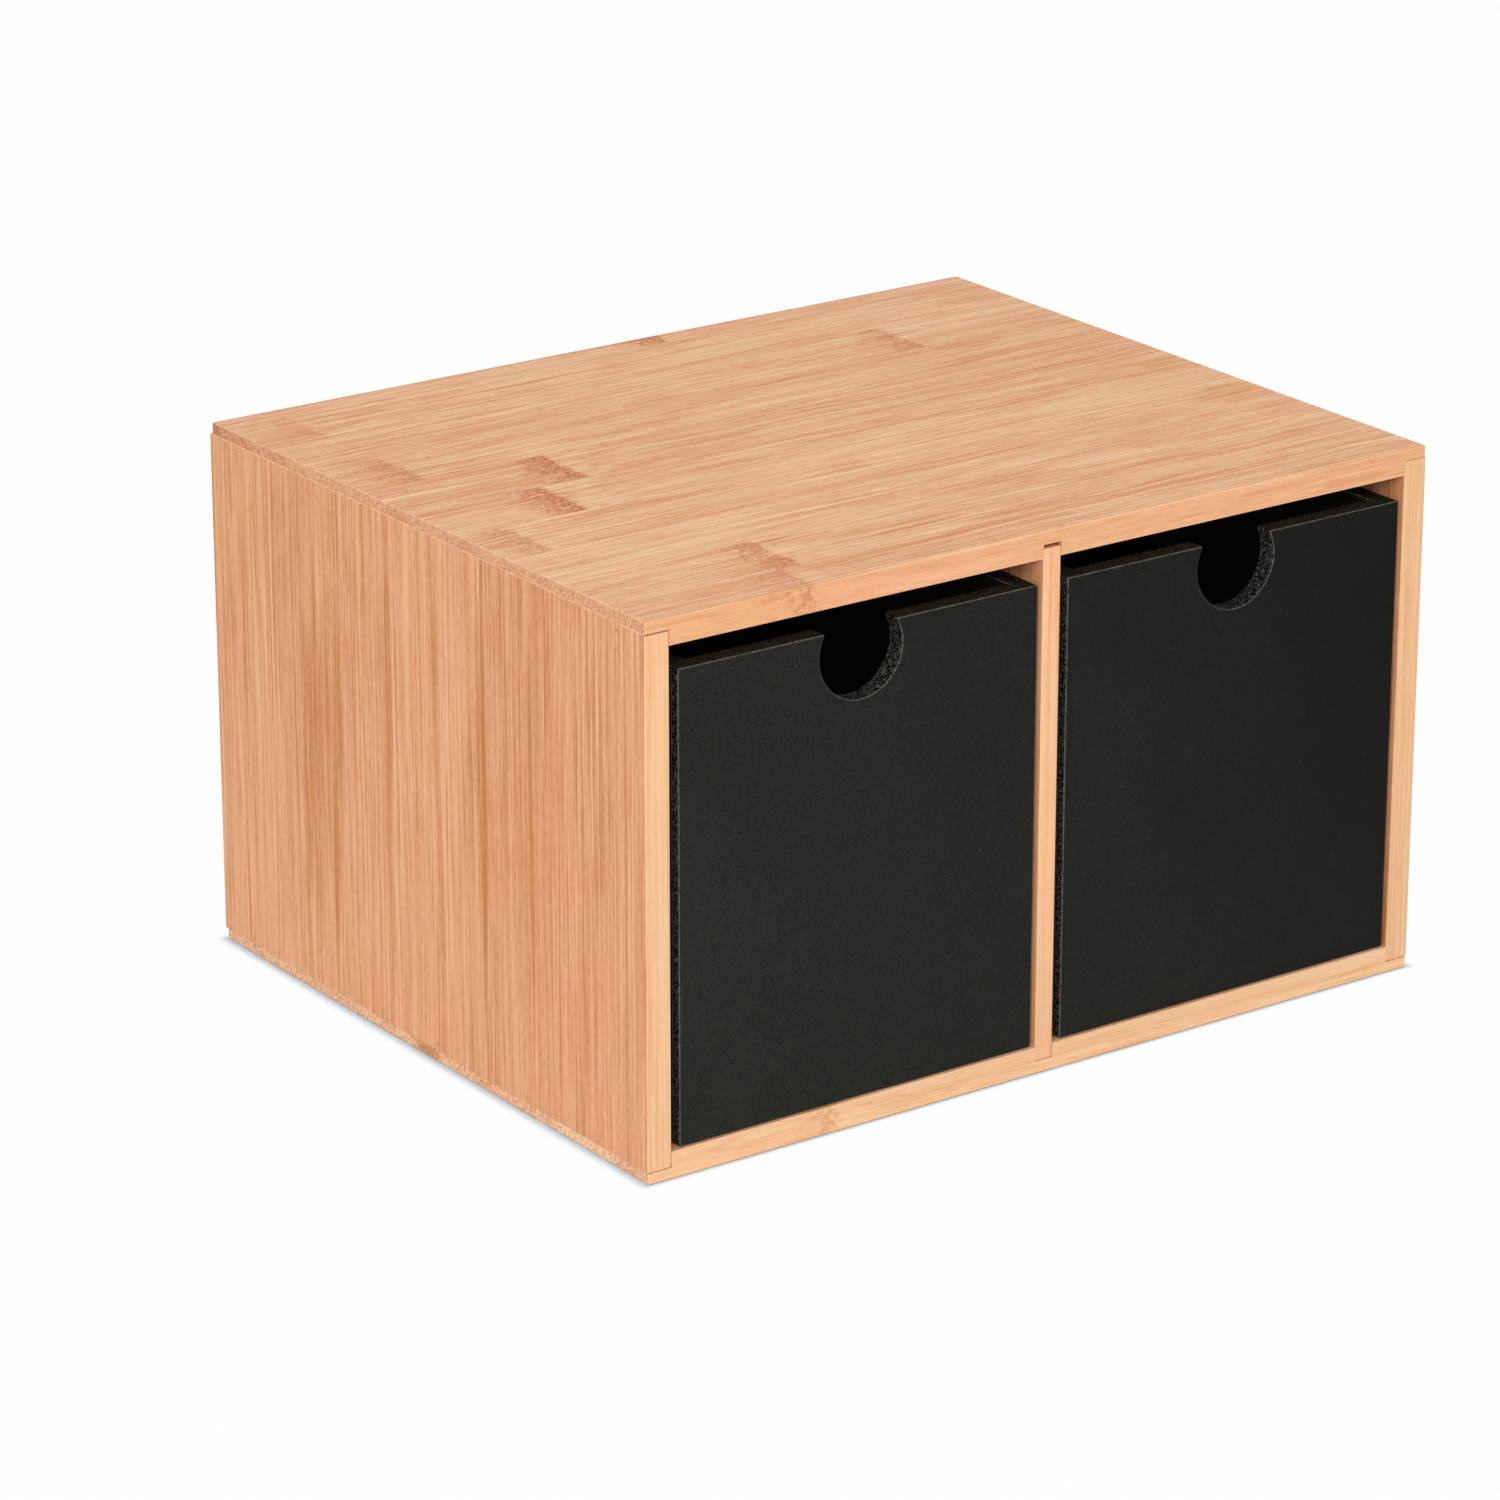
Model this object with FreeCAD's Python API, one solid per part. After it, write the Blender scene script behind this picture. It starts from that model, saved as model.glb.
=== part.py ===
"""Desk organizer: a bamboo case with an upright divider and two fibreboard drawers side by side.

Millimetres. The origin is the centre of the case's footprint, on the surface it stands on.
+X runs to the right of someone facing the drawers, +Y runs from front to back, +Z is up.
"""
import FreeCAD, Part
import os

V = FreeCAD.Vector

# Overall size of the case
CASE_WIDTH = 245.0
CASE_DEPTH = 200.0
CASE_HEIGHT = 145.0

# Bamboo boards of the case
BOARD = 7.2
LIP = 3.0
END_SETBACK = 0.3
REAR_SETBACK = 0.8
EDGE_ROUND = 0.4

# Divider between the two bays, let into dados in the top and bottom boards
DIVIDER_BOARD = 5.5
DADO_DEPTH = 3.8
DIVIDER_SHORTFALL = 1.1

# Back panel, in a rabbet all round the rear opening
PANEL_BOARD = 3.0
PANEL_RABBET = 4.0
PANEL_RECESS = 0.5
PANEL_PLAY = 0.25

# Drawers: each stands to the right of its bay's middle by the shift, within its side gaps
DRAWER_BOARD = 5.5
DRAWER_SIDE_GAP = 2.0
DRAWER_SHIFT = 1.0
DRAWER_FLOOR_GAP = 0.2
DRAWER_HEIGHT = 123.8
DRAWER_RECESS = 0.8
DRAWER_REAR_GAP = 0.5
DRAWER_ROUND = 0.4
NOTCH_DIAMETER = 25.0
NOTCH_CENTRE_DROP = 6.2
NOTCH_RIM_ROUND = 0.3

# Drawer bottom, a thin panel held in grooves
GROOVE_DEPTH = 2.75
GROOVE_HEIGHT = 5.0
BOTTOM_PANEL = 3.0
BOTTOM_PLAY = 0.25

# Headless pins, driven slightly under the surface
PIN_DIAMETER = 1.0
PIN_CLEARANCE = 0.02
PIN_TIP = 1.5
PIN_POINT_DIAMETER = 0.25
PIN_SUNK = 0.5
CASE_PIN_LENGTH = 18.0
PANEL_PIN_LENGTH = 12.0
DRAWER_PIN_LENGTH = 15.0
TOP_PIN_PLACES = (-88.0, 0.0, 88.0)
BOTTOM_PIN_PLACES = (-59.0, -5.5, 55.5)
DRAWER_PIN_HEIGHTS = (24.0, 62.0, 100.0)
PANEL_PIN_HEIGHTS = (20.0, 72.5, 125.0)
DIVIDER_PIN_HEIGHTS = (40.0, 105.0)

# Planes and places worked out from the sizes above
OUTER_X = CASE_WIDTH / 2
INNER_X = OUTER_X - BOARD
PLATE_X = OUTER_X - END_SETBACK
FRONT_Y = -CASE_DEPTH / 2
REAR_Y = CASE_DEPTH / 2
PLATE_REAR_Y = REAR_Y - REAR_SETBACK
PANEL_REAR_Y = PLATE_REAR_Y - PANEL_RECESS
PANEL_FRONT_Y = PANEL_REAR_Y - PANEL_BOARD
FLOOR_Z = BOARD
CEILING_Z = CASE_HEIGHT - BOARD
SIDE_LOW_Z = LIP
SIDE_HIGH_Z = CASE_HEIGHT - LIP
TONGUE = BOARD - LIP
BAY_WIDTH = INNER_X - DIVIDER_BOARD / 2
BAY_X = (INNER_X + DIVIDER_BOARD / 2) / 2
DRAWER_WIDTH = BAY_WIDTH - 2 * DRAWER_SIDE_GAP
DRAWER_LOW_Z = FLOOR_Z + DRAWER_FLOOR_GAP
DRAWER_HIGH_Z = DRAWER_LOW_Z + DRAWER_HEIGHT
DRAWER_FRONT_Y = FRONT_Y + DRAWER_RECESS
DRAWER_REAR_Y = PANEL_FRONT_Y - DRAWER_REAR_GAP

# How far a cutter runs past the face that it enters, so that no skin is left
PAST = 5.0

# Two planes nearer than this are the same plane
SAME_PLANE = 0.01


def box(low, high):
    """Plain block between two corners."""
    size = V(*high) - V(*low)
    return Part.makeBox(size.x, size.y, size.z, V(*low))


def board(low, high, radius=EDGE_ROUND):
    """Block whose twelve edges are eased."""
    block = box(low, high)
    return block.makeFillet(radius, block.Edges)


def mirrored(shape):
    """The same shape on the other side of the case's middle plane."""
    return shape.mirror(V(0, 0, 0), V(1, 0, 0))


def pin(start, direction, length):
    """Headless pin from its blunt end at start to its point, length away along direction."""
    radius = PIN_DIAMETER / 2
    shank = Part.makeCylinder(radius, length - PIN_TIP, start, direction)
    tip_start = start + direction * (length - PIN_TIP)
    tip = Part.makeCone(radius, PIN_POINT_DIAMETER / 2, PIN_TIP, tip_start, direction)
    return shank.fuse(tip).removeSplitter()


def pin_hole(start, direction, length):
    """Hole that a pin has made, from the surface that it was driven through to its point."""
    radius = PIN_DIAMETER / 2 + PIN_CLEARANCE
    return Part.makeCylinder(radius, length + PAST, start - direction * PAST, direction)


def pins_and_holes(surface_points, direction, length):
    """Pins driven at the given points of a surface, and the holes that they sit in."""
    pins = []
    holes = []
    for point in surface_points:
        pins.append(pin(point + direction * PIN_SUNK, direction, length))
        holes.append(pin_hole(point, direction, length + PIN_SUNK))
    return pins, holes


def case_side_pins():
    """Pins through the left side board into the tongues of the top and bottom boards."""
    points = []
    for y in TOP_PIN_PLACES:
        points.append(V(-OUTER_X, y, SIDE_HIGH_Z - TONGUE / 2))
    for y in BOTTOM_PIN_PLACES:
        points.append(V(-OUTER_X, y, SIDE_LOW_Z + TONGUE / 2))
    return pins_and_holes(points, V(1, 0, 0), CASE_PIN_LENGTH)


def back_panel_pins():
    """Pins through the back panel into the floor of its rabbet and into the divider's rear edge."""
    seat_x = INNER_X + PANEL_RABBET / 2
    points = []
    for z in PANEL_PIN_HEIGHTS:
        points.append(V(-seat_x, PANEL_REAR_Y, z))
        points.append(V(seat_x, PANEL_REAR_Y, z))
    for z in (FLOOR_Z - PANEL_RABBET / 2, CEILING_Z + PANEL_RABBET / 2):
        points.append(V(-BAY_X, PANEL_REAR_Y, z))
        points.append(V(BAY_X, PANEL_REAR_Y, z))
    for z in DIVIDER_PIN_HEIGHTS:
        points.append(V(0, PANEL_REAR_Y, z))
    return pins_and_holes(points, V(0, -1, 0), PANEL_PIN_LENGTH)


def rear_rabbet():
    """Space that the back panel's edge takes out of the boards round the rear opening."""
    low = (-INNER_X - PANEL_RABBET, PANEL_FRONT_Y, FLOOR_Z - PANEL_RABBET)
    high = (INNER_X + PANEL_RABBET, REAR_Y + PAST, CEILING_Z + PANEL_RABBET)
    return box(low, high)


def plate(low_z, tongue_low_z, dado_low_z, holes):
    """Top or bottom board: rabbeted at both ends, with a dado along the middle for the divider."""
    shape = board((-PLATE_X, FRONT_Y, low_z), (PLATE_X, PLATE_REAR_Y, low_z + BOARD))
    tongue_high_z = tongue_low_z + TONGUE
    end_low = (INNER_X, FRONT_Y - PAST, tongue_low_z)
    end_high = (OUTER_X + PAST, REAR_Y + PAST, tongue_high_z)
    end_rabbet = box(end_low, end_high)
    dado_low = (-DIVIDER_BOARD / 2, FRONT_Y - PAST, dado_low_z)
    dado_high = (DIVIDER_BOARD / 2, REAR_Y + PAST, dado_low_z + DADO_DEPTH)
    dado = box(dado_low, dado_high)
    return shape.cut([end_rabbet, mirrored(end_rabbet), dado, rear_rabbet()] + holes)


def left_side_board(holes):
    """Side board, standing in the end rabbets of the top and bottom boards."""
    shape = board((-OUTER_X, FRONT_Y, SIDE_LOW_Z), (-INNER_X, REAR_Y, SIDE_HIGH_Z))
    panel_low = (-INNER_X - PANEL_RABBET, PANEL_FRONT_Y, SIDE_LOW_Z - PAST)
    panel_high = (-INNER_X + PAST, REAR_Y + PAST, SIDE_HIGH_Z + PAST)
    return shape.cut([box(panel_low, panel_high)] + holes)


def divider(holes):
    """Upright divider, seated on the lower dado's floor and a little short of the upper one's."""
    low_z = FLOOR_Z - DADO_DEPTH
    high_z = CEILING_Z + DADO_DEPTH - DIVIDER_SHORTFALL
    half = DIVIDER_BOARD / 2
    shape = board((-half, FRONT_Y, low_z), (half, PANEL_FRONT_Y, high_z))
    return shape.cut(holes)


def back_panel(holes):
    """Thin panel that closes the rear of both bays."""
    half_x = INNER_X + PANEL_RABBET - PANEL_PLAY
    low_z = FLOOR_Z - PANEL_RABBET + PANEL_PLAY
    high_z = CEILING_Z + PANEL_RABBET - PANEL_PLAY
    return box((-half_x, PANEL_FRONT_Y, low_z), (half_x, PANEL_REAR_Y, high_z)).cut(holes)


def case_parts():
    """Boards, panel and pins of the case, by name."""
    left_pins, left_holes = case_side_pins()
    panel_pins, panel_holes = back_panel_pins()
    right_pins = [mirrored(one) for one in left_pins]
    right_holes = [mirrored(one) for one in left_holes]
    holes = left_holes + right_holes + panel_holes
    left_side = left_side_board(left_holes + panel_holes)
    return {
        "top_board": plate(CEILING_Z, CEILING_Z, CEILING_Z, holes),
        "bottom_board": plate(0.0, LIP, FLOOR_Z - DADO_DEPTH, holes),
        "left_side_board": left_side,
        "right_side_board": mirrored(left_side),
        "divider": divider(panel_holes),
        "back_panel": back_panel(panel_holes),
        "left_side_pins": Part.makeCompound(left_pins),
        "right_side_pins": Part.makeCompound(right_pins),
        "back_panel_pins": Part.makeCompound(panel_pins),
    }


def drawer_pins(centre_x):
    """Pins through the two side boards of a drawer into the ends of its front and its back."""
    half = DRAWER_WIDTH / 2
    front_y = DRAWER_FRONT_Y + DRAWER_BOARD - GROOVE_DEPTH / 2
    back_y = DRAWER_REAR_Y - DRAWER_BOARD / 2
    pins = []
    holes = []
    for side in (-1, 1):
        points = []
        for height in DRAWER_PIN_HEIGHTS:
            points.append(V(centre_x + side * half, front_y, DRAWER_LOW_Z + height))
            points.append(V(centre_x + side * half, back_y, DRAWER_LOW_Z + height))
        side_pins, side_holes = pins_and_holes(points, V(-side, 0, 0), DRAWER_PIN_LENGTH)
        pins.extend(side_pins)
        holes.extend(side_holes)
    return pins, holes


def drawer_groove(centre_x):
    """Space of the grooves that hold the drawer's bottom: one block, cut from all four boards."""
    half = DRAWER_WIDTH / 2 - DRAWER_BOARD + GROOVE_DEPTH
    low_z = DRAWER_LOW_Z + GROOVE_HEIGHT
    low_y = DRAWER_FRONT_Y + DRAWER_BOARD - GROOVE_DEPTH
    high_y = DRAWER_REAR_Y - DRAWER_BOARD + GROOVE_DEPTH
    return box((centre_x - half, low_y, low_z), (centre_x + half, high_y, low_z + BOTTOM_PANEL))


def is_notch_rim(edge):
    """True for the notch's arc on the drawer's front face."""
    bounds = edge.BoundBox
    on_front = abs(bounds.YMin - DRAWER_FRONT_Y) < SAME_PLANE and bounds.YLength < SAME_PLANE
    return on_front and isinstance(edge.Curve, Part.Circle)


def drawer_front(centre_x, cutters):
    """Front board: finger notch through its top edge, a rabbet behind each end for the sides."""
    half = DRAWER_WIDTH / 2
    rear_y = DRAWER_FRONT_Y + DRAWER_BOARD
    shape = board(
        (centre_x - half, DRAWER_FRONT_Y, DRAWER_LOW_Z),
        (centre_x + half, rear_y, DRAWER_HIGH_Z),
        DRAWER_ROUND,
    )
    for side in (-1, 1):
        inner_x = centre_x + side * (half - DRAWER_BOARD)
        outer_x = centre_x + side * (half + PAST)
        low = (min(inner_x, outer_x), rear_y - GROOVE_DEPTH, DRAWER_LOW_Z - PAST)
        high = (max(inner_x, outer_x), rear_y + PAST, DRAWER_HIGH_Z + PAST)
        shape = shape.cut(box(low, high))
    notch_start = V(centre_x, DRAWER_FRONT_Y - PAST, DRAWER_HIGH_Z - NOTCH_CENTRE_DROP)
    notch = Part.makeCylinder(NOTCH_DIAMETER / 2, DRAWER_BOARD + 2 * PAST, notch_start, V(0, 1, 0))
    shape = shape.cut([notch] + cutters)
    rim = [edge for edge in shape.Edges if is_notch_rim(edge)]
    return shape.makeFillet(NOTCH_RIM_ROUND, rim)


def drawer_side(centre_x, side, cutters):
    """Side board, from the front's rabbet to the rear of the drawer."""
    outer_x = centre_x + side * DRAWER_WIDTH / 2
    inner_x = outer_x - side * DRAWER_BOARD
    low = (min(inner_x, outer_x), DRAWER_FRONT_Y + DRAWER_BOARD - GROOVE_DEPTH, DRAWER_LOW_Z)
    high = (max(inner_x, outer_x), DRAWER_REAR_Y, DRAWER_HIGH_Z)
    return board(low, high, DRAWER_ROUND).cut(cutters)


def drawer_back(centre_x, cutters):
    """Back board, between the two sides."""
    half = DRAWER_WIDTH / 2 - DRAWER_BOARD
    low = (centre_x - half, DRAWER_REAR_Y - DRAWER_BOARD, DRAWER_LOW_Z)
    high = (centre_x + half, DRAWER_REAR_Y, DRAWER_HIGH_Z)
    return board(low, high, DRAWER_ROUND).cut(cutters)


def drawer_bottom(centre_x):
    """Thin bottom panel, a little smaller all round than the grooves that hold it."""
    half = DRAWER_WIDTH / 2 - DRAWER_BOARD + GROOVE_DEPTH - BOTTOM_PLAY
    low_z = DRAWER_LOW_Z + GROOVE_HEIGHT
    low_y = DRAWER_FRONT_Y + DRAWER_BOARD - GROOVE_DEPTH + BOTTOM_PLAY
    high_y = DRAWER_REAR_Y - DRAWER_BOARD + GROOVE_DEPTH - BOTTOM_PLAY
    return box((centre_x - half, low_y, low_z), (centre_x + half, high_y, low_z + BOTTOM_PANEL))


def drawer_parts(name, centre_x):
    """Boards and pins of one drawer, by name."""
    pins, holes = drawer_pins(centre_x)
    cutters = [drawer_groove(centre_x)] + holes
    return {
        name + "_front": drawer_front(centre_x, cutters),
        name + "_left_side": drawer_side(centre_x, -1, cutters),
        name + "_right_side": drawer_side(centre_x, 1, cutters),
        name + "_back": drawer_back(centre_x, cutters),
        name + "_bottom": drawer_bottom(centre_x),
        name + "_pins": Part.makeCompound(pins),
    }


def main():
    """Write one STEP file for each sub-part."""
    os.makedirs("parts", exist_ok=True)
    parts = case_parts()
    parts.update(drawer_parts("left_drawer", DRAWER_SHIFT - BAY_X))
    parts.update(drawer_parts("right_drawer", DRAWER_SHIFT + BAY_X))
    for name, shape in parts.items():
        shape.exportStep("parts/" + name + ".step")
        size = shape.BoundBox
        print(name, len(shape.Solids), shape.isValid(), round(shape.Volume, 1),
              [round(v, 2) for v in (size.XMin, size.YMin, size.ZMin, size.XMax, size.YMax, size.ZMax)])


main()
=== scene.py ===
import math

import bpy
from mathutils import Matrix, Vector


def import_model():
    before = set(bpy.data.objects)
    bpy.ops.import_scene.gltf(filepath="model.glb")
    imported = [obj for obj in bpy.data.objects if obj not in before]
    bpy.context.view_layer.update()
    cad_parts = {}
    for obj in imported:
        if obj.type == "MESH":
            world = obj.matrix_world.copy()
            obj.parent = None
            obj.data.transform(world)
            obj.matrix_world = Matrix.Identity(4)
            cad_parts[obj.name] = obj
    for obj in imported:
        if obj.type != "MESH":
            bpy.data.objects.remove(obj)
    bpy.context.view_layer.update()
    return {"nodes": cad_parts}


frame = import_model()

# Lengths are in metres, apart from those in materials, which are in millimetres.
MM = 0.001
CASE_HALF_WIDTH = 122.5
CASE_HALF_DEPTH = 100.0
CASE_HEIGHT = 145.0
WHITE = (1.0, 1.0, 1.0, 1.0)


def linear(rgb):
    """Scene-linear RGBA of an sRGB colour given as three numbers up to 255."""
    out = []
    for value in rgb:
        share = value / 255
        out.append(share / 12.92 if share <= 0.04045 else ((share + 0.055) / 1.055) ** 2.4)
    return (*out, 1.0)


class Shader:
    """The node tree of a material or of the world. Each call adds a node and returns its output socket."""

    def __init__(self, owner):
        self.owner = owner
        owner.use_nodes = True
        self.tree = owner.node_tree
        self.tree.nodes.clear()

    def add(self, kind, inputs=None, **settings):
        node = self.tree.nodes.new(kind)
        for key, value in settings.items():
            setattr(node, key, value)
        for key, value in (inputs or {}).items():
            if isinstance(value, bpy.types.NodeSocket):
                self.tree.links.new(value, node.inputs[key])
            else:
                node.inputs[key].default_value = value
        return node

    def math(self, operation, *values):
        return self.add("ShaderNodeMath", dict(enumerate(values)), operation=operation).outputs[0]

    def add_up(self, *terms):
        total = terms[0]
        for term in terms[1:]:
            total = self.math("ADD", total, term)
        return total

    def scaled(self, value, factor, offset=0.0):
        return self.math("MULTIPLY_ADD", value, factor, offset)

    def centred(self, value, weight):
        """A value around 0.5, moved to around 0 and given a weight."""
        return self.scaled(value, weight, -weight / 2)

    def times(self, *factors):
        product = factors[0]
        for factor in factors[1:]:
            product = self.math("MULTIPLY", product, factor)
        return product

    def step(self, value, low, high, out_low=0.0, out_high=1.0):
        """Smooth step of value from low to high, where low may be the larger one."""
        inputs = {0: value, 1: low, 2: high, 3: out_low, 4: out_high}
        return self.add("ShaderNodeMapRange", inputs, interpolation_type="SMOOTHSTEP").outputs[0]

    def vector(self, x, y, z):
        return self.add("ShaderNodeCombineXYZ", {0: x, 1: y, 2: z}).outputs[0]

    def even(self, value):
        """A vector, or a grey, of one value three times."""
        return self.vector(value, value, value)

    def split(self, vector):
        return list(self.add("ShaderNodeSeparateXYZ", {0: vector}).outputs)

    def in_units(self, spot, sizes):
        """A spot measured in units of its own on each axis, in millimetres."""
        return self.vector(*[self.scaled(axis, 1 / size) for axis, size in zip(spot, sizes)])

    def noise(self, vector, detail=2.0, roughness=0.5):
        inputs = {"Vector": vector, "Scale": 1.0, "Detail": detail, "Roughness": roughness}
        return self.add("ShaderNodeTexNoise", inputs).outputs[0]

    def white(self, value):
        return self.add("ShaderNodeTexWhiteNoise", {"W": value}, noise_dimensions="1D").outputs["Value"]

    def cells(self, vector):
        """Distance to the nearest of the random points, one in each unit cell."""
        return self.add("ShaderNodeTexVoronoi", {"Vector": vector, "Scale": 1.0}).outputs["Distance"]

    def ramp(self, value, stops, interpolation="LINEAR"):
        """Colour ramp through (place, RGBA) stops."""
        node = self.add("ShaderNodeValToRGB", {0: value})
        node.color_ramp.interpolation = interpolation
        elements = node.color_ramp.elements
        while len(elements) < len(stops):
            elements.new(0.5)
        for element, (place, colour) in zip(elements, stops):
            element.position = place
            element.color = colour
        return node.outputs[0]

    def palette(self, colours, tone):
        """The colour at a tone from 0 to 1 on an even row of sRGB colours."""
        return self.ramp(tone, [(i / (len(colours) - 1), linear(rgb)) for i, rgb in enumerate(colours)])

    def mix(self, share, a, b, blend="MIX"):
        node = self.add("ShaderNodeMix", {0: share, 6: a, 7: b}, data_type="RGBA", blend_type=blend)
        return node.outputs[2]

    def tinted(self, colour, tint):
        return self.mix(1.0, colour, tint, "MULTIPLY")

    def bump(self, height, distance, strength):
        """Bump normal. The distance is in metres, for a height that runs from 0 to 1."""
        inputs = {"Strength": strength, "Distance": distance, "Height": height}
        return self.add("ShaderNodeBump", inputs).outputs[0]

    def place(self):
        """Object coordinates in millimetres and absolute object normals, as three sockets each."""
        coordinates = self.add("ShaderNodeTexCoord").outputs
        spot = [self.scaled(axis, 1 / MM) for axis in self.split(coordinates["Object"])]
        normal = [self.math("ABSOLUTE", axis) for axis in self.split(coordinates["Normal"])]
        return spot, normal

    def eased_edge(self, normal):
        """1 on the rounded edges between two flat faces, 0 on the faces."""
        largest = self.math("MAXIMUM", self.math("MAXIMUM", normal[0], normal[1]), normal[2])
        return self.step(largest, 0.99, 0.85)

    def seen_share(self):
        """1 where a ray comes from the camera, a mirror or glass."""
        path = self.add("ShaderNodeLightPath").outputs
        share = self.math("MAXIMUM", path["Is Camera Ray"], path["Is Glossy Ray"])
        return self.math("MAXIMUM", share, path["Is Transmission Ray"])

    def surface(self, colour, roughness, normal, specular, metallic=0.0):
        inputs = {
            "Base Color": colour,
            "Roughness": roughness,
            "Normal": normal,
            "Specular IOR Level": specular,
            "Metallic": metallic,
        }
        shader = self.add("ShaderNodeBsdfPrincipled", inputs).outputs[0]
        self.add("ShaderNodeOutputMaterial", {0: shader})
        return self.owner


# Width of a bamboo strip, and how far apart along the grain two strips' patterns can be cut
STRIP = 22.2
STRIP_SHIFT = 991.0
# The table of node marks: its length in strips, and the range of places that a ramp's 0 to 1 stands for
MARK_SLOTS = 16
MARK_RANGE = 1000.0
NODE_BROWN = (170, 90, 50)
PALE_EDGE_BAMBOO = (248, 212, 176)
# Painted shade in the crease of a joint between boards
JOINT_SHADE_BROWN = (112, 66, 40)
STAIN_TINT = (0.93, 0.95, 0.7, 1.0)
ROSY_TINT = (1.0, 0.975, 0.96, 1.0)
YELLOW_TINT = (0.99, 1.0, 0.95, 1.0)


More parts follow.
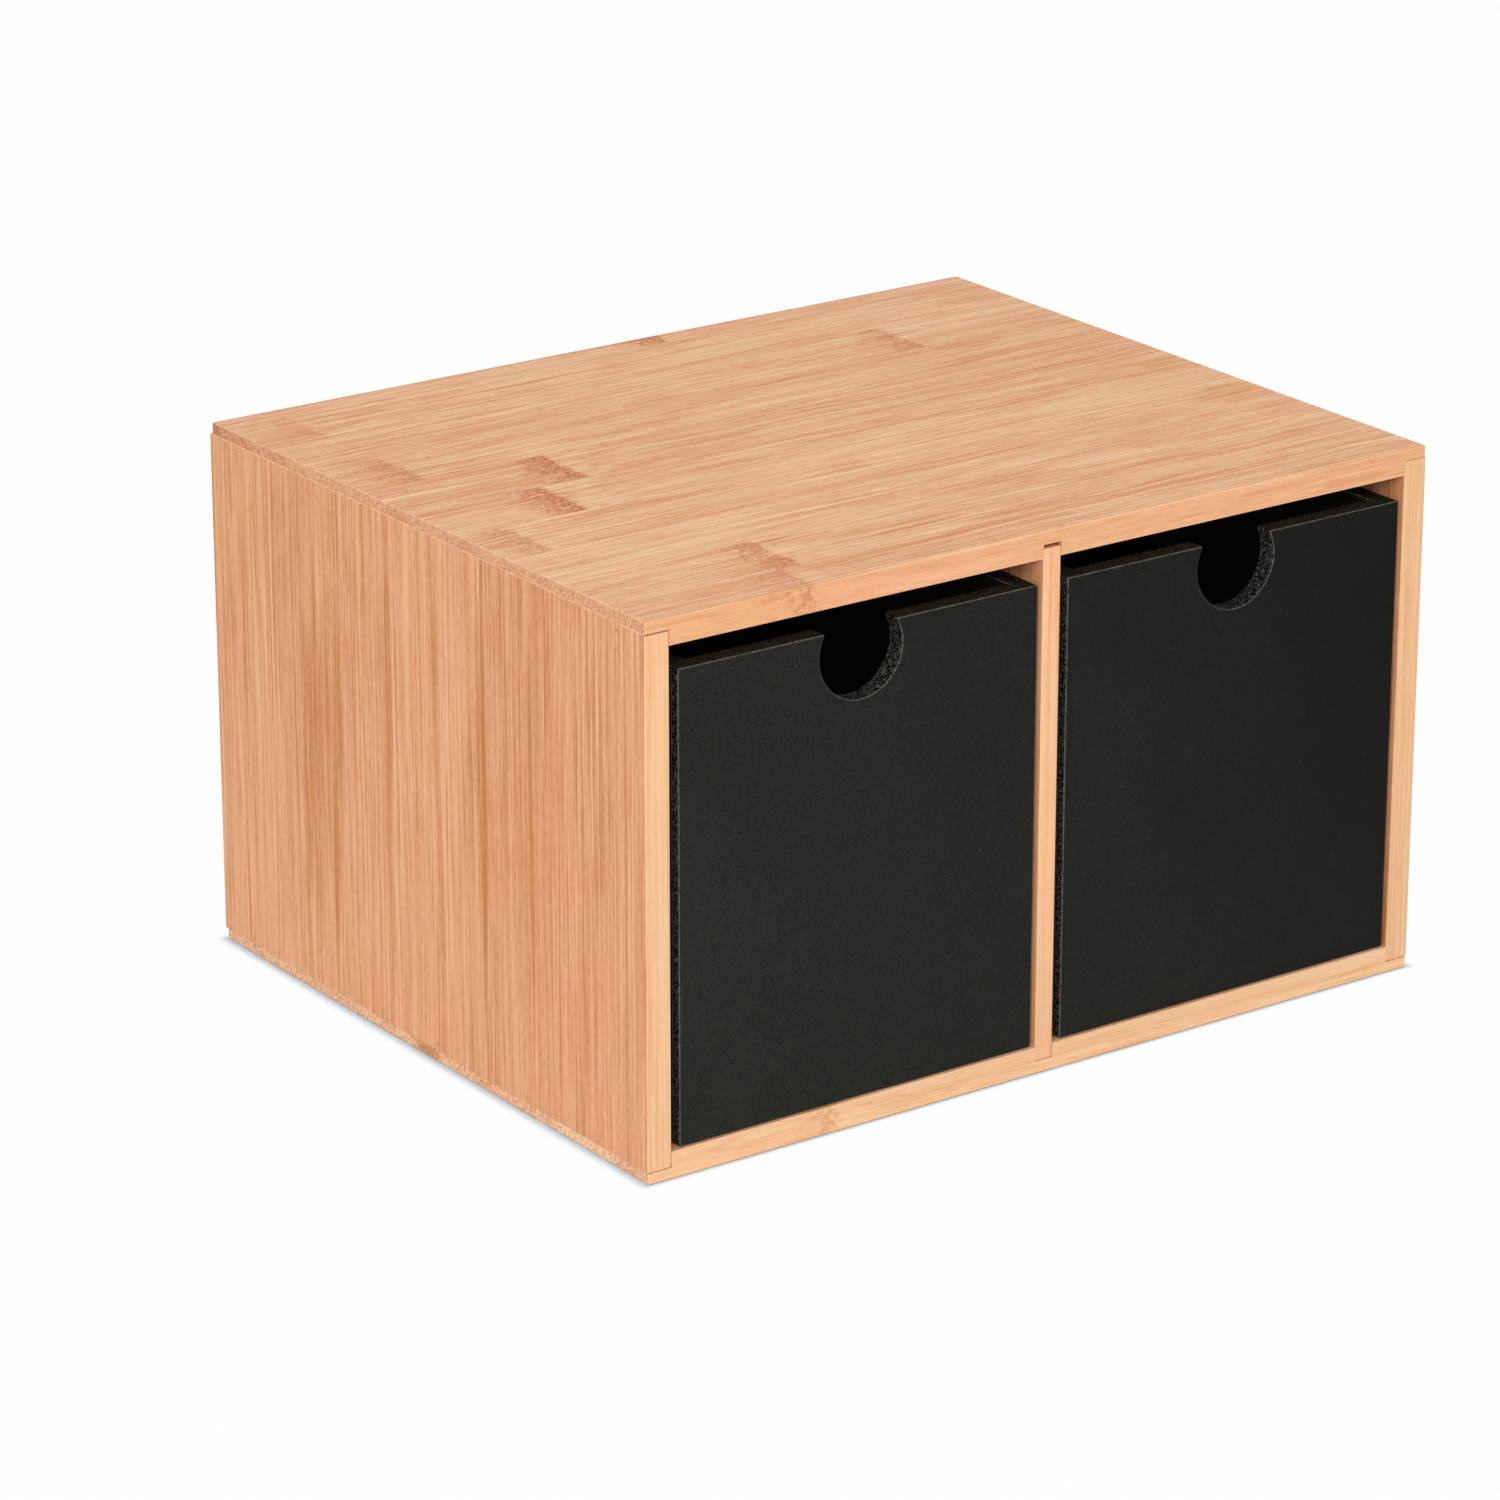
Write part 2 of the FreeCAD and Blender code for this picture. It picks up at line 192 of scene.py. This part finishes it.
def bamboo(name, axes, edge, face, front, ends, marks=(), stains=(), end_marks=(), seed=0.0, straight=0.5,
           seams=0.15, wave=4.0, seats=(), painted_foot_light=0.0):
    """Board of bamboo strips glued side by side.

    axes: the object axes along the grain, across the strips and through the board.
    edge: place of one joint between two strips, in millimetres.
    face, front, ends: colours of the broad faces, the long edges and the end grain, darkest first.
    marks: (strip number, place of the sharp side of its node mark along the grain, strength).
    stains: (place along the grain, place across, half length, half width, strength) of a darker smudge.
    end_marks: (place across, half width, strength) of a darker or, below zero, paler patch of end grain.
    straight: share of fibres that run the whole length. seams: depth of the joints.
    wave: how far the fibres wander across the board, in millimetres.
    seats: (place along the grain, strength) of a line of painted shade in the crease where a long edge ends at
    another board.
    painted_foot_light: painted light, how much paler an upright is drawn towards its foot, in place of light that
    the floor throws up.
    """
    s = Shader(bpy.data.materials.new(name))
    spot, normal = s.place()
    u, v, w = (spot[axis] for axis in axes)
    end_face, side_face, _ = (normal[axis] for axis in axes)

    strip_place = s.scaled(v, 1 / STRIP, -edge / STRIP)
    strip = s.math("FLOOR", strip_place)
    within = s.math("FRACT", strip_place)
    chance = s.white(s.math("ADD", strip, seed + 0.5))
    shifted = s.scaled(chance, STRIP_SHIFT, u)

    swirl = s.noise(s.in_units((shifted, v, w), (34.0, 9.0, 9.0)), 2.0)
    bent = s.math("ADD", v, s.centred(swirl, wave))

    def grain(length, across, detail=2.0, roughness=0.5):
        """Noise drawn out along the grain: a fleck's usual length and width in millimetres."""
        at = s.vector(s.scaled(shifted, 1 / length), s.scaled(bent, 1 / across, seed), s.scaled(w, 1 / across))
        return s.noise(at, detail, roughness)

    clouds = grain(26.0, 7.0, 3.0, 0.6)
    bands = grain(210.0, 6.5, 1.0)
    streaks = grain(130.0, 2.6, 1.0)
    fibres = grain(85.0, 1.25, 2.0, 0.6)
    hairs = grain(42.0, 0.55, 2.0, 0.7)
    long_lines = grain(600.0, 0.75, 1.0)
    mottle = grain(2.4, 1.3, 1.0)
    hue = grain(80.0, 10.0, 1.0)

    joint = s.math("ABSOLUTE", s.math("SUBTRACT", within, 0.5))
    joint_band = s.step(joint, 0.5 - 0.8 / STRIP, 0.5 - 0.1 / STRIP)
    joint_dark = s.times(joint_band, s.step(grain(60.0, 5.0, 1.0), 0.5, 0.66))

    # Tone: 0 is the darkest colour of a palette, 1 the palest.
    lined = s.step(grain(95.0, 8.0, 1.0), 0.36, 0.66, 0.75, 1.3)
    lines = s.add_up(
        s.centred(fibres, 1.0),
        s.centred(hairs, 1.6),
        s.centred(long_lines, straight),
        s.scaled(s.step(grain(48.0, 0.9, 1.0), 0.56, 0.68), -0.26, 0.04),
    )
    tone = s.add_up(
        s.scaled(clouds, 0.6, 0.2),
        s.centred(bands, 0.36),
        s.centred(streaks, 0.36),
        s.centred(mottle, 0.42),
        s.times(lines, lined),
        s.centred(chance, 0.12),
        s.scaled(joint_dark, -seams),
        # Painted light: paler towards the foot of an upright, standing in for light thrown up from the floor.
        s.step(u, 80.0, 5.0, 0.0, painted_foot_light),
    )

    smudge = None
    for along, across, half_length, half_width, strength in stains:
        from_u = s.scaled(u, 1 / half_length, -along / half_length)
        from_v = s.scaled(v, 1 / half_width, -across / half_width)
        away = s.add_up(s.times(from_u, from_u), s.times(from_v, from_v), s.centred(fibres, 2.4))
        one = s.step(away, 1.1, 0.1, 0.0, strength)
        smudge = one if smudge is None else s.math("MAXIMUM", smudge, one)
    if stains:
        tone = s.math("ADD", tone, s.scaled(smudge, -0.34))

    if marks:
        # A stepped ramp holds each strip's mark: red is its place along the grain, green its strength.
        table = {number: (place, strength) for number, place, strength in marks}
        stops = []
        for number in range(MARK_SLOTS):
            place, strength = table.get(number, (0.0, 0.0))
            stops.append((number / MARK_SLOTS, (0.5 + place / MARK_RANGE, strength, 0.0, 1.0)))
        found = s.ramp(s.scaled(strip, 1 / MARK_SLOTS, 0.5 / MARK_SLOTS), stops, "CONSTANT")
        place, strength, _ = s.split(found)
        waver = s.noise(s.vector(s.scaled(v, 1 / 3.0), s.scaled(chance, 50.0), s.scaled(w, 1 / 3.0)), 2.0)
        from_start = s.math("SUBTRACT", u, s.centred(waver, 4.0))
        away = s.math("SUBTRACT", s.centred(place, MARK_RANGE), from_start)
        beyond = s.step(away, -0.5, 0.9)
        comb = s.noise(s.in_units((u, v, w), (5.0, 1.2, 1.2)), 2.0, 0.7)
        reach = s.math("MAXIMUM", s.scaled(comb, 40.0, -10.0), 1.0)
        dark = s.times(beyond, s.step(s.math("DIVIDE", away, reach), 1.2, 0.3), strength)
        blotch = s.noise(s.in_units((u, v, w), (6.0, 2.6, 2.6)), 2.0, 0.6)
        near = s.times(s.step(s.math("ABSOLUTE", away), 34.0, 4.0), strength)
        pale_reach = s.scaled(blotch, 30.0, -6.0)
        pale = s.times(s.step(away, 0.0, -1.5), s.step(s.math("ADD", away, pale_reach), -2.0, 3.0), strength)
        flecks = s.noise(s.in_units((u, v, w), (1.6, 1.2, 1.2)), 2.0, 0.75)
        mark = s.times(dark, s.step(flecks, 0.46, 0.55))
        behind = s.times(beyond, s.step(away, 16.0, 3.0), strength)
        blotches = s.times(near, s.centred(blotch, 0.9))
        tone = s.add_up(tone, s.scaled(dark, -0.16), s.scaled(behind, -0.2), s.scaled(pale, 0.12), blotches)

    on_side = s.step(side_face, 0.6, 0.8)
    on_end = s.step(end_face, 0.6, 0.8)
    colour = s.mix(on_side, s.palette(face, tone), s.palette(front, tone))
    if marks:
        colour = s.mix(s.scaled(mark, 0.95), colour, linear(NODE_BROWN))
    if stains:
        colour = s.mix(s.scaled(smudge, 0.75), colour, s.tinted(colour, STAIN_TINT))
    colour = s.mix(s.step(hue, 0.35, 0.65), s.tinted(colour, ROSY_TINT), s.tinted(colour, YELLOW_TINT))

    leaning = s.math("ADD", s.scaled(v, 1 / 0.38), s.scaled(w, 1 / 0.8))
    pores = s.step(s.cells(s.vector(s.scaled(u, 1 / 0.9), leaning, s.scaled(w, 1 / 1.2))), 0.15, 0.65)
    patches = s.noise(s.vector(s.scaled(v, 1 / 14.0), s.scaled(w, 1 / 6.0), seed), 2.0)
    end_tone = s.add_up(s.scaled(pores, 0.75, 0.1), s.centred(patches, 0.6))
    for across, half_width, strength in end_marks:
        away = s.math("ABSOLUTE", s.scaled(v, 1.0, -across))
        end_tone = s.math("ADD", end_tone, s.step(away, half_width, half_width / 3, 0.0, -strength))
    colour = s.mix(on_end, colour, s.palette(ends, end_tone))
    # Paler along the rounded edges, in streaks.
    pale_edge = s.times(s.eased_edge(normal), streaks)
    colour = s.mix(s.scaled(pale_edge, 0.6), colour, linear(PALE_EDGE_BAMBOO))
    # Painted shade: a dark line in the crease where a long edge ends at another board.
    for end, strength in seats:
        from_end = s.math("ABSOLUTE", s.scaled(u, 1.0, -end))
        joint_shade = s.times(s.step(from_end, 0.55, 0.25, 0.0, strength), s.step(side_face, 0.2, 0.5))
        colour = s.mix(joint_shade, colour, linear(JOINT_SHADE_BROWN))

    relief = s.add_up(s.scaled(hairs, 0.5), s.scaled(fibres, 0.5), s.scaled(joint_band, -0.15))
    relief = s.mix(on_end, s.even(relief), s.even(pores))
    bump = s.bump(relief, 0.08 * MM, 0.6)
    roughness = s.add_up(s.scaled(fibres, 0.16, 0.42), s.scaled(on_end, 0.12))
    return s.surface(colour, roughness, bump, 0.22)


# Two shades each, between which the paint or the cut board varies
BLACK_PAINT = ((27, 28, 24), (32, 33, 28))
# Painted sheen of the drawer fronts: the paler black for the left and low down, the darker one for the right and
# up
SHEEN_PALE_PAINT = ((38, 39, 35), (41, 42, 38))
SHEEN_DARK_PAINT = ((16, 16, 12), (19, 19, 15))
RAW_EDGE = ((6, 6, 5), (92, 90, 84))
RAW_TOP = ((9, 8, 5), (60, 54, 42))
DUST = (92, 90, 82)
WORN_BLACK = (108, 106, 99)


def fibreboard(name, painted_axis, painted_sheen=False):
    """Black painted fibreboard.

    painted_axis: the object axis through the board. The other faces are cut edges.
    painted_sheen: painted sheen, the black drawn paler towards the left end and the foot of the case, in place of
    reflected light.
    """
    s = Shader(bpy.data.materials.new(name))
    spot, normal = s.place()
    painted = normal[painted_axis]

    def speckle(size, roughness=0.6):
        """Noise whose flecks are this many millimetres across."""
        return s.noise(s.in_units(spot, (size, size, size)), 3.0, roughness)

    def shade(share, colours):
        return s.mix(share, linear(colours[0]), linear(colours[1]))

    cut = s.step(painted, 0.75, 0.5)
    fine = speckle(0.7, 0.7)
    cloud = speckle(45.0)
    grit = speckle(0.65, 0.8)
    fuzz = speckle(1.3, 0.7)
    dust = s.step(s.cells(s.in_units(spot, (7.0, 7.0, 7.0))), 0.055, 0.02)

    clouded = s.step(cloud, 0.3, 0.7)
    # Painted sheen: the black is paler to the left and low down and darker to the right and up, standing in for
    # reflected light.
    if painted_sheen:
        along = s.scaled(spot[0], 0.5 / CASE_HALF_WIDTH, 0.36)
        along = s.math("ADD", along, s.scaled(spot[2], 0.28 / CASE_HEIGHT))
        paint = s.mix(along, shade(clouded, SHEEN_PALE_PAINT), shade(clouded, SHEEN_DARK_PAINT))
    else:
        paint = shade(clouded, BLACK_PAINT)
    paint = s.tinted(paint, s.even(s.scaled(fine, 1.7, 0.15)))
    paint = s.mix(s.scaled(dust, 0.35), paint, linear(DUST))
    # The drawers' top edges, at 131 mm, are browner than the other cut edges.
    on_top = s.times(s.step(normal[2], 0.6, 0.9), s.step(spot[2], 124.0, 127.0))
    raw = s.mix(on_top, shade(s.step(grit, 0.48, 0.62), RAW_EDGE), shade(s.step(grit, 0.44, 0.6), RAW_TOP))
    colour = s.mix(cut, paint, raw)
    arris = s.times(s.step(painted, 0.12, 0.3), s.step(painted, 0.99, 0.9))
    worn = s.times(arris, s.step(fuzz, 0.3, 0.6, 0.3, 1.0))
    colour = s.mix(s.scaled(worn, 0.65), colour, linear(WORN_BLACK))

    relief = s.add_up(s.scaled(fine, 0.25), s.times(cut, s.scaled(grit, 1.2)))
    bump = s.bump(relief, 0.12 * MM, 0.6)
    roughness = s.add_up(s.scaled(fine, 0.14, 0.46), s.scaled(cut, 0.3))
    return s.surface(colour, roughness, bump, 0.07)


def steel(name):
    """Dull, spotted wire of the headless pins."""
    s = Shader(bpy.data.materials.new(name))
    spot, _ = s.place()
    spots = s.noise(s.in_units(spot, (0.8, 0.8, 0.8)), 3.0, 0.6)
    colour = s.mix(s.step(spots, 0.35, 0.65), linear((134, 116, 98)), linear((172, 158, 142)))
    bump = s.bump(spots, 0.03 * MM, 0.5)
    return s.surface(colour, s.scaled(spots, 0.3, 0.4), bump, 0.5, metallic=0.8)


# Axes of a lying and of a standing board, for bamboo()
PLATE_AXES = (0, 1, 2)
UPRIGHT_AXES = (2, 1, 0)
TOP_FACE = ((204, 132, 87), (214, 147, 103), (221, 167, 124), (228, 183, 144), (233, 196, 160))
SIDE_FACE = ((196, 126, 82), (210, 142, 97), (221, 157, 113), (231, 171, 128), (239, 183, 141))
FRONT_EDGE = ((236, 176, 127), (240, 184, 137), (243, 191, 146), (245, 197, 153), (247, 203, 160))
TOP_EDGE = ((229, 162, 115), (234, 171, 125), (238, 178, 133), (241, 185, 141), (244, 191, 148))
DIVIDER_EDGE = ((240, 176, 127), (245, 185, 137), (249, 192, 147), (251, 198, 154), (252, 203, 160))
# The bottom board's front edge is drawn paler than the other front edges: painted light, making up for the weaker
# light near the floor
BOTTOM_EDGE_PAINTED_LIGHT = ((243, 185, 137), (247, 193, 147), (250, 200, 156), (252, 206, 164), (253, 212, 171))
TOP_ENDS = ((188, 123, 83), (216, 156, 116), (231, 180, 140))
BOTTOM_ENDS = ((194, 132, 90), (229, 171, 126), (248, 211, 177))
SIDE_ENDS = ((178, 116, 74), (220, 165, 123), (240, 195, 155))
TOP_MARKS = (
    (0, -72.6, 0.4),
    (1, -66.0, 0.62),
    (3, -109.2, 0.48),
    (4, -83.5, 0.88),
    (5, -68.7, 0.9),
    (6, -103.4, 0.45),
    (7, 72.2, 0.5),
    (8, -104.1, 0.28),
    (9, 18.0, 0.95),
)
BOTTOM_MARKS = ((0, -65.0, 0.28), (2, 31.0, 0.8), (5, -20.0, 0.9), (7, 88.0, 0.8))
TOP_END_MARKS = ((97.5, 3.0, 0.6), (88.0, 13.0, 0.25), (66.0, 6.0, 0.3))
BOTTOM_END_MARKS = ((0.0, 8.0, 0.5), (-72.0, 19.0, -0.2))
TOP_STAINS = ((112.0, -35.0, 12.0, 9.0, 0.5), (114.0, -3.0, 10.0, 6.0, 0.6))
LEFT_STAINS = (
    (66.0, 47.0, 52.0, 10.0, 0.62),
    (62.0, 54.0, 44.0, 1.8, 1.0),
    (84.0, 39.5, 38.0, 1.8, 1.0),
    (40.0, 42.4, 26.0, 0.9, 1.0),
    (117.0, 14.3, 13.0, 1.4, 0.9),
    (80.0, 85.0, 62.0, 1.2, 0.7),
    (80.0, -28.5, 62.0, 2.2, 1.0),
    (75.0, -50.5, 60.0, 1.4, 0.8),
    (95.0, -7.5, 38.0, 1.3, 0.7),
    (95.0, 14.5, 40.0, 1.3, 0.6),
)

MATERIALS = {
    "top_board": bamboo(
        "bamboo_top", PLATE_AXES, -108.2, TOP_FACE, TOP_EDGE, TOP_ENDS,
        marks=TOP_MARKS, stains=TOP_STAINS, end_marks=TOP_END_MARKS, seed=3.0,
    ),
    "bottom_board": bamboo(
        "bamboo_bottom", PLATE_AXES, -108.2, TOP_FACE, BOTTOM_EDGE_PAINTED_LIGHT, BOTTOM_ENDS,
        marks=BOTTOM_MARKS, end_marks=BOTTOM_END_MARKS, seed=11.0,
    ),
    "left_side_board": bamboo(
        "bamboo_left", UPRIGHT_AXES, -117.4, SIDE_FACE, FRONT_EDGE, SIDE_ENDS, stains=LEFT_STAINS,
        seed=23.0, straight=1.0, seams=0.3, wave=0.8, seats=((142.0, 0.8), (3.0, 0.25)), painted_foot_light=0.13,
    ),
    "right_side_board": bamboo(
        "bamboo_right", UPRIGHT_AXES, -112.0, SIDE_FACE, FRONT_EDGE, SIDE_ENDS,
        seed=37.0, straight=1.0, seams=0.3, wave=0.8, seats=((142.0, 0.3),),
    ),
    "divider": bamboo(
        "bamboo_divider", UPRIGHT_AXES, -104.0, SIDE_FACE, DIVIDER_EDGE, SIDE_ENDS,
        seed=41.0, straight=0.8, wave=0.8,
    ),
    "back_panel": fibreboard("back_panel_black", 1),
}
PIN_STEEL = steel("pin_steel")
for pins in ("left_side_pins", "right_side_pins", "back_panel_pins"):
    MATERIALS[pins] = PIN_STEEL
DRAWER_MATERIALS = {
    "left_side": fibreboard("drawer_side_black", 0),
    "back": fibreboard("drawer_back_black", 1),
    "front": fibreboard("drawer_front_black", 1, painted_sheen=True),
    "bottom": fibreboard("drawer_bottom_black", 2),
    "pins": PIN_STEEL,
}
DRAWER_MATERIALS["right_side"] = DRAWER_MATERIALS["left_side"]
for drawer in ("left_drawer", "right_drawer"):
    for piece, material in DRAWER_MATERIALS.items():
        MATERIALS[drawer + "_" + piece] = material

for name, node in frame["nodes"].items():
    for slot in node.material_slots:
        slot.material = MATERIALS[name]


FLOOR_HALF_SIZE = 3.0
FLOOR_DROP = 0.1 * MM
FLOOR_GREY = (0.86, 0.86, 0.86, 1.0)
# Seen by the camera, the floor is bluer: that takes out the orange light that the bamboo throws on it.
SHADE_GREY = (0.62, 0.76, 0.86, 1.0)
# How far the shade at the foot of the case reaches, in millimetres
SIDE_SHADE = 1.6
FRONT_SHADE = 0.9
# How far the floor looks up, in metres, for a drawer over it
SKY_REACH = 0.03
# How much of the shadow shows: far from the case, added to that at its foot, and the part of that under a drawer
FAR_SHADE = 0.02
NEAR_SHADE = 0.93
DRAWER_SHADE = 0.6


def floor():
    """Plain pale floor. It looks white, and takes the shadow at the foot of the case and under an open drawer."""
    half = FLOOR_HALF_SIZE
    mesh = bpy.data.meshes.new("floor")
    corners = [(-half, -half, 0), (half, -half, 0), (half, half, 0), (-half, half, 0)]
    mesh.from_pydata(corners, [], [(0, 1, 2, 3)])
    plane = bpy.data.objects.new("floor", mesh)
    bpy.context.scene.collection.objects.link(plane)
    plane.location.z = -FLOOR_DROP
    s = Shader(bpy.data.materials.new("floor"))
    spot, _ = s.place()

    def fall(place, half_size, reach):
        """Minus the square of the distance to the case along one axis, in units of the reach."""
        beyond = s.math("MAXIMUM", s.scaled(s.math("ABSOLUTE", place), 1.0, -half_size), 0.0)
        return s.times(beyond, beyond, -1 / reach ** 2)

    beside = fall(spot[0], CASE_HALF_WIDTH, SIDE_SHADE)
    before = fall(spot[1], CASE_HALF_DEPTH, FRONT_SHADE)
    near = s.math("EXPONENT", s.math("ADD", beside, before))
    open_sky = s.add("ShaderNodeAmbientOcclusion", {"Distance": SKY_REACH}, samples=8).outputs["AO"]
    under = s.scaled(s.step(open_sky, 0.44, 0.1), DRAWER_SHADE)
    shown = s.scaled(s.math("MAXIMUM", near, under), NEAR_SHADE, FAR_SHADE)
    seen = s.seen_share()
    share = s.math("SUBTRACT", 1.0, s.times(seen, s.scaled(shown, -1.0, 1.0)))
    diffuse = s.add("ShaderNodeBsdfDiffuse", {"Color": s.mix(seen, FLOOR_GREY, SHADE_GREY)}).outputs[0]
    glow = s.add("ShaderNodeEmission", {"Color": WHITE, "Strength": 1.0}).outputs[0]
    mixed = s.add("ShaderNodeMixShader", {0: share, 1: glow, 2: diffuse}).outputs[0]
    s.add("ShaderNodeOutputMaterial", {0: mixed})
    mesh.materials.append(s.owner)


WORLD_STRENGTH = 0.47


def world():
    """White for the camera, mirrors and glass, soft grey light for everything else."""
    s = Shader(bpy.data.worlds.new("studio"))
    bpy.context.scene.world = s.owner
    light = s.add("ShaderNodeBackground", {"Color": WHITE, "Strength": WORLD_STRENGTH}).outputs[0]
    white = s.add("ShaderNodeBackground", {"Color": WHITE, "Strength": 1.0}).outputs[0]
    mixed = s.add("ShaderNodeMixShader", {0: s.seen_share(), 1: light, 2: white}).outputs[0]
    s.add("ShaderNodeOutputWorld", {0: mixed})


def softbox(name, place, aim, width, height, power):
    """Rectangular lamp that faces a point. All in metres and watts."""
    lamp = bpy.data.lights.new(name, "AREA")
    lamp.shape = "RECTANGLE"
    lamp.size = width
    lamp.size_y = height
    lamp.energy = power
    holder = bpy.data.objects.new(name, lamp)
    bpy.context.scene.collection.objects.link(holder)
    holder.location = place
    holder.rotation_mode = "QUATERNION"
    holder.rotation_quaternion = (Vector(aim) - Vector(place)).to_track_quat("-Z", "Y")


CAMERA_PLACE = (-0.88289, -1.20862, 0.60373)
CAMERA_AZIMUTH = -35.51
CAMERA_ELEVATION = 20.05
FRAME_PIXELS = 1500
FOCAL_PIXELS = 6025.6


def camera():
    """The photograph's view, without roll or shift, on a frame of 1500 by 1500 pixels."""
    azimuth = math.radians(CAMERA_AZIMUTH)
    elevation = math.radians(CAMERA_ELEVATION)
    back = Vector((
        math.sin(azimuth) * math.cos(elevation),
        -math.cos(azimuth) * math.cos(elevation),
        math.sin(elevation),
    ))
    data = bpy.data.cameras.new("photo_camera")
    data.sensor_width = 36.0
    data.lens = data.sensor_width * FOCAL_PIXELS / FRAME_PIXELS
    data.clip_start = 0.05
    data.clip_end = 50.0
    view = bpy.data.objects.new("photo_camera", data)
    bpy.context.scene.collection.objects.link(view)
    view.location = CAMERA_PLACE
    view.rotation_mode = "QUATERNION"
    view.rotation_quaternion = (-back).to_track_quat("-Z", "Y")
    bpy.context.scene.camera = view


floor()
world()
softbox("key", (-1.29, -1.53, 1.2), (0, 0, 0.05), 1.1, 1.0, 27.7)
softbox("overhead", (0.1, 0.2, 1.8), (0, 0, 0.1), 1.4, 1.4, 8.4)
softbox("side", (-1.8, 0.1, 0.9), (0, 0, 0.05), 1.2, 1.0, 1.2)
camera()

bpy.context.scene.view_settings.view_transform = "Standard"
